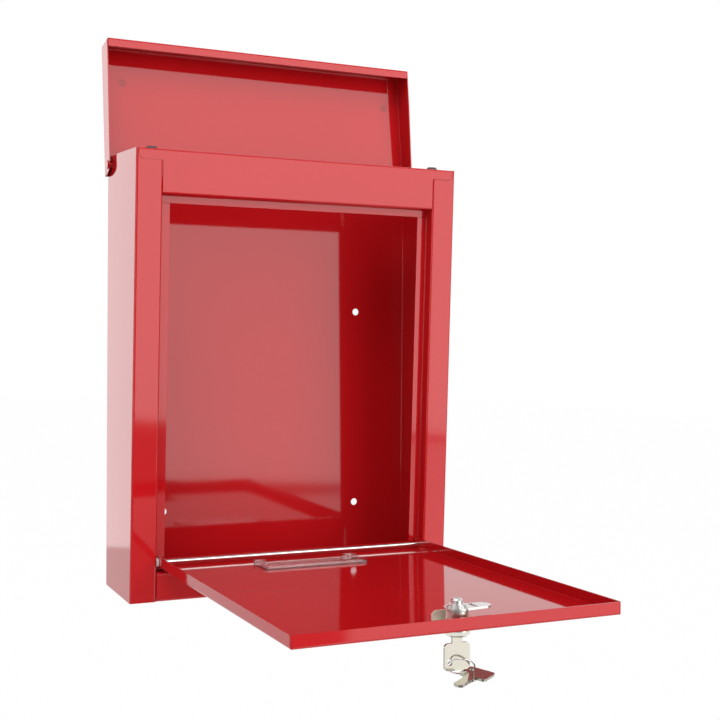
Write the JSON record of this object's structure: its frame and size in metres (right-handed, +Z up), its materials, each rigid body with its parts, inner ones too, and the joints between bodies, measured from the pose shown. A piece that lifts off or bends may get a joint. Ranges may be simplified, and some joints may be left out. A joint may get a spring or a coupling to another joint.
{
  "type": "wall letter box",
  "caption": "Folded-steel wall letter box with a lift-up top flap, a drop-down front door on a rod and a turning cam lock with keys.",
  "frame": {"origin": "centre of the four wall holes, on the back face", "axes": "+Z up, +Y into the wall, +X to the right seen from the front"},
  "size_m": [0.324, 0.4567, 0.5266],
  "materials": {
    "paint_red": "glossy powder coat over steel sheet",
    "steel_bright": "zinc-plated steel",
    "nickel": "nickel plate, satin",
    "brass_plain": "plain brass",
    "rubber_dark": "moulded rubber",
    "plastic_pale": "moulded nylon",
    "plastic_clear": "clear moulded plastic"
  },
  "bodies": {
    "box": {"body_wrap": "paint_red", "floor_panel": "paint_red", "header_panel": "paint_red", "pad_left": "rubber_dark", "pad_right": "rubber_dark", "flap_pin_left": "paint_red", "flap_pin_right": "paint_red", "door_rod": "steel_bright", "rod_spacer_left": "plastic_pale", "rod_spacer_right": "plastic_pale", "rod_cap_left": "steel_bright", "rod_cap_right": "steel_bright"},
    "flap_body": {"flap": "paint_red"},
    "door_body": {"door": "paint_red", "card_holder": "plastic_clear", "lock_barrel": "nickel", "lock_clip": "steel_bright"},
    "lock_turning": {"lock_plug": "nickel", "lock_wafers": "brass_plain", "lock_cam": "steel_bright", "cam_star_washer": "steel_bright", "cam_washer": "steel_bright", "cam_screw": "steel_bright"},
    "first_key": {"key_in_lock": "nickel"},
    "ring": {"key_ring": "steel_bright"},
    "second_key": {"key_spare": "nickel"}
  },
  "joints": [
    {"name": "flap_hinge", "type": "hinge", "parent": "box", "child": "flap_body", "pos_m": [0, -0.009, 0.2355], "axis": [1, 0, 0], "range_deg": [0, 102.4]},
    {"name": "door_hinge", "type": "hinge", "parent": "box", "child": "door_body", "pos_m": [0, -0.09259, -0.13164], "axis": [-1, 0, 0], "range_deg": [0, 87.1]},
    {"name": "lock_turn", "type": "hinge", "parent": "door_body", "child": "lock_turning", "pos_m": [0, -0.40694, -0.13294], "axis": [0, -0.0111, -0.9999], "range_deg": [0, 90]},
    {"name": "key_out", "type": "slide", "parent": "lock_turning", "child": "first_key", "axis": [0, -0.0111, -0.9999], "range_m": [0, 0.02]},
    {"name": "ring_swing", "type": "hinge", "parent": "first_key", "child": "ring", "pos_m": [-0.006, -0.40721, -0.15724], "axis": [0, 0.9999, -0.0111], "range_deg": [0, 70]},
    {"name": "second_key_swing", "type": "hinge", "parent": "ring", "child": "second_key", "pos_m": [0.01241, -0.4073, -0.16505], "axis": [-0.2512, 0.7594, -0.6002], "range_deg": [-25, 0]}
  ]
}
